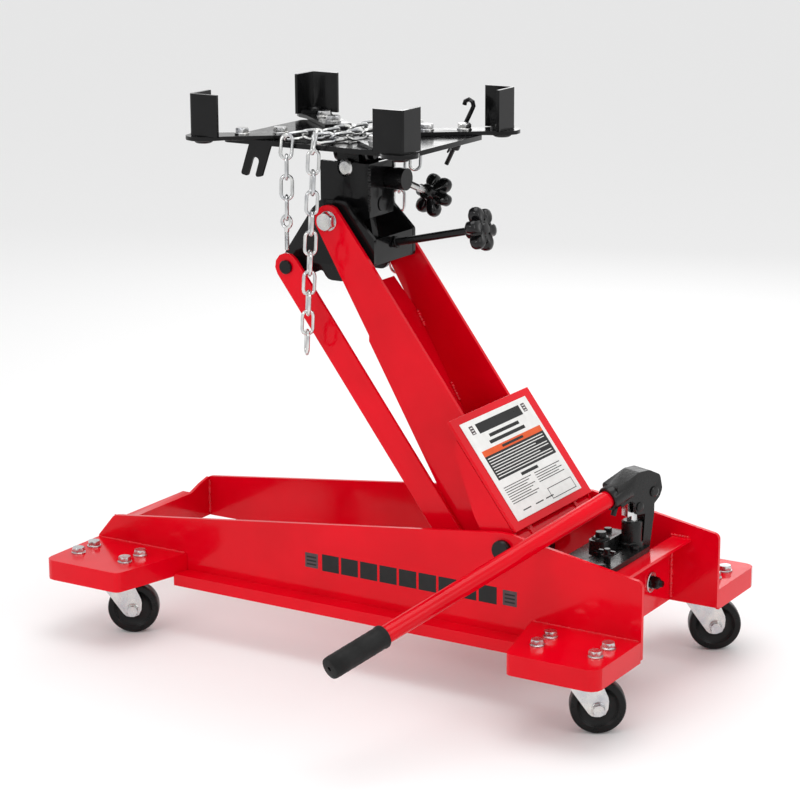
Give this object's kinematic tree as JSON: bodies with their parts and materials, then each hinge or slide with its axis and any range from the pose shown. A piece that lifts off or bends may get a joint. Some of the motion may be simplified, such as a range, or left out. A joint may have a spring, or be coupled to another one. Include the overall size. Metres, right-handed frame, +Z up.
{
  "type": "transmission jack",
  "caption": "Low-lift wheeled transmission jack: open red base frame, slanted lift arm with a parallel link, tilting saddle with corner brackets and chains, hydraulic pump with a long handle.",
  "frame": {"origin": "middle of the bounding box, on the floor under the wheels", "axes": "+X along the rails towards the pump end, +Y away from the side that the pump handle reaches over, +Z up"},
  "size_m": [0.9106, 0.7306, 0.8062],
  "materials": {
    "red_paint": "gloss",
    "black_paint": "gloss",
    "zinc": "zinc plated",
    "wheel_rubber": "matt",
    "grip_rubber": "matt",
    "label": "satin",
    "chain_steel": "zinc plated"
  },
  "bodies": {
    "frame": {"rail_near": "red_paint", "rail_far": "red_paint", "rear_cross": "red_paint", "front_cross": "red_paint", "bracket_front_near": "red_paint", "bracket_front_far": "red_paint", "bracket_rear_near": "red_paint", "bracket_rear_far": "red_paint", "caster_plate_front_near": "zinc", "caster_plate_front_far": "zinc", "caster_plate_rear_near": "zinc", "caster_plate_rear_far": "zinc", "arm_pin": "black_paint", "link_stud_near": "black_paint", "link_stud_far": "black_paint", "power_unit": "black_paint", "pump_block": "black_paint"},
    "arm": {"arm_plate_near": "red_paint", "arm_plate_far": "red_paint", "arm_web": "red_paint", "arm_cover": "red_paint", "label_plate": "label", "arm_tube": "red_paint", "head_bolt_near": "zinc", "head_bolt_far": "zinc"},
    "link": {"link_near": "red_paint", "link_far": "red_paint"},
    "head": {"head_yoke": "black_paint", "head_box": "black_paint", "screw_trunnion": "black_paint", "tilt_bolt": "zinc"},
    "tilt": {"tilt_block": "black_paint"},
    "saddle": {"saddle_base": "black_paint", "saddle_arm_front_near": "black_paint", "saddle_arm_front_far": "black_paint", "saddle_arm_rear_near": "black_paint", "saddle_arm_rear_far": "black_paint", "chain_hook": "black_paint", "chain_long": "chain_steel", "chain_short": "chain_steel"},
    "post_front_near": {"corner_post_front_near": "black_paint"},
    "post_front_far": {"corner_post_front_far": "black_paint"},
    "post_rear_near": {"corner_post_rear_near": "black_paint"},
    "post_rear_far": {"corner_post_rear_far": "black_paint"},
    "level_screw": {"level_screw": "black_paint"},
    "side_screw": {"side_screw": "black_paint"},
    "ram": {"ram_rod": "zinc"},
    "handle": {"handle_socket": "black_paint", "pump_handle": "red_paint", "handle_grip": "grip_rubber"},
    "plunger": {"pump_plunger": "black_paint"},
    "release": {"release_valve": "black_paint"},
    "caster_front_near": {"caster_fork_front_near": "zinc"},
    "wheel_front_near": {"wheel_front_near": "wheel_rubber"},
    "caster_front_far": {"caster_fork_front_far": "zinc"},
    "wheel_front_far": {"wheel_front_far": "wheel_rubber"},
    "caster_rear_near": {"caster_fork_rear_near": "zinc"},
    "wheel_rear_near": {"wheel_rear_near": "wheel_rubber"},
    "caster_rear_far": {"caster_fork_rear_far": "zinc"},
    "wheel_rear_far": {"wheel_rear_far": "wheel_rubber"}
  },
  "joints": [
    {"name": "arm_lift", "type": "hinge", "parent": "frame", "child": "arm", "pos_m": [0.2443, 0.1103, 0.213], "axis": [0, 1, 0], "range_deg": [-54, 2]},
    {"name": "link_swing", "type": "hinge", "parent": "frame", "child": "link", "pos_m": [0.18, 0.1103, 0.1427], "axis": [0, 1, 0], "range_deg": [-54.1, 2.1]},
    {"name": "head_level", "type": "hinge", "parent": "arm", "child": "head", "pos_m": [-0.0707, 0.1103, 0.6295], "axis": [0, 1, 0], "range_deg": [-2.1, 54.1]},
    {"name": "ram_stroke", "type": "slide", "parent": "frame", "child": "ram", "axis": [-1, 0, 0], "range_m": [-0.064, 0.0026]},
    {"name": "fore_aft_tilt", "type": "hinge", "parent": "head", "child": "tilt", "pos_m": [-0.0657, 0.1103, 0.7], "axis": [0, 1, 0], "range_deg": [-6, 6]},
    {"name": "side_tilt", "type": "hinge", "parent": "tilt", "child": "saddle", "pos_m": [-0.0657, 0.1103, 0.716], "axis": [1, 0, 0], "range_deg": [-6, 6], "deforming": ["chain_long", "chain_short"]},
    {"name": "post_swivel_front_near", "type": "hinge", "parent": "saddle", "child": "post_front_near", "pos_m": [-0.23545, -0.02312, 0.747], "axis": [0, 0, 1], "range_deg": [-45, 45]},
    {"name": "post_swivel_front_far", "type": "hinge", "parent": "saddle", "child": "post_front_far", "pos_m": [-0.22948, 0.25078, 0.747], "axis": [0, 0, 1], "range_deg": [-45, 45]},
    {"name": "post_swivel_rear_near", "type": "hinge", "parent": "saddle", "child": "post_rear_near", "pos_m": [0.09051, -0.02738, 0.747], "axis": [0, 0, 1], "range_deg": [-45, 45]},
    {"name": "post_swivel_rear_far", "type": "hinge", "parent": "saddle", "child": "post_rear_far", "pos_m": [0.09883, 0.23759, 0.747], "axis": [0, 0, 1], "range_deg": [-45, 25]},
    {"name": "level_screw_turn", "type": "hinge", "parent": "head", "child": "level_screw", "pos_m": [-0.0392, 0.1103, 0.5856], "axis": [0.9741, 0, 0.226], "continuous": true},
    {"name": "side_screw_turn", "type": "hinge", "parent": "head", "child": "side_screw", "pos_m": [-0.0092, 0.1303, 0.682], "axis": [0.184, 0.8951, -0.4061], "continuous": true},
    {"name": "pump_swing", "type": "hinge", "parent": "frame", "child": "handle", "pos_m": [0.37454, 0.16067, 0.274], "axis": [-0.9397, 0.342, 0], "range_deg": [0, 40]},
    {"name": "plunger_stroke", "type": "slide", "parent": "frame", "child": "plunger", "axis": [0, 0, 1], "range_m": [-0.0001, 0.0216]},
    {"name": "valve_turn", "type": "hinge", "parent": "frame", "child": "release", "pos_m": [0.3713, 0.0483, 0.21], "axis": [0, 0, 1], "range_deg": [-90, 90]},
    {"name": "swivel_front_near", "type": "hinge", "parent": "frame", "child": "caster_front_near", "pos_m": [-0.3867, -0.0767, 0.105], "axis": [0, 0, 1], "continuous": true},
    {"name": "roll_front_near", "type": "hinge", "parent": "caster_front_near", "child": "wheel_front_near", "pos_m": [-0.35768, -0.05899, 0.038], "axis": [-0.521, 0.8536, 0], "continuous": true},
    {"name": "swivel_front_far", "type": "hinge", "parent": "frame", "child": "caster_front_far", "pos_m": [-0.3867, 0.2973, 0.105], "axis": [0, 0, 1], "continuous": true},
    {"name": "roll_front_far", "type": "hinge", "parent": "caster_front_far", "child": "wheel_front_far", "pos_m": [-0.35768, 0.31501, 0.038], "axis": [-0.521, 0.8536, 0], "continuous": true},
    {"name": "swivel_rear_near", "type": "hinge", "parent": "frame", "child": "caster_rear_near", "pos_m": [0.3853, -0.0767, 0.105], "axis": [0, 0, 1], "continuous": true},
    {"name": "roll_rear_near", "type": "hinge", "parent": "caster_rear_near", "child": "wheel_rear_near", "pos_m": [0.41432, -0.05899, 0.038], "axis": [-0.521, 0.8536, 0], "continuous": true},
    {"name": "swivel_rear_far", "type": "hinge", "parent": "frame", "child": "caster_rear_far", "pos_m": [0.3853, 0.2973, 0.105], "axis": [0, 0, 1], "continuous": true},
    {"name": "roll_rear_far", "type": "hinge", "parent": "caster_rear_far", "child": "wheel_rear_far", "pos_m": [0.41432, 0.31501, 0.038], "axis": [-0.521, 0.8536, 0], "continuous": true}
  ],
  "couplings": [
    {"joint": "link_swing", "follows": "arm_lift", "ratio": 1},
    {"joint": "head_level", "follows": "arm_lift", "ratio": -1},
    {"joint": "ram_stroke", "follows": "arm_lift", "m_per_rad": 0.0676},
    {"joint": "plunger_stroke", "follows": "pump_swing", "m_per_rad": 0.0308}
  ]
}
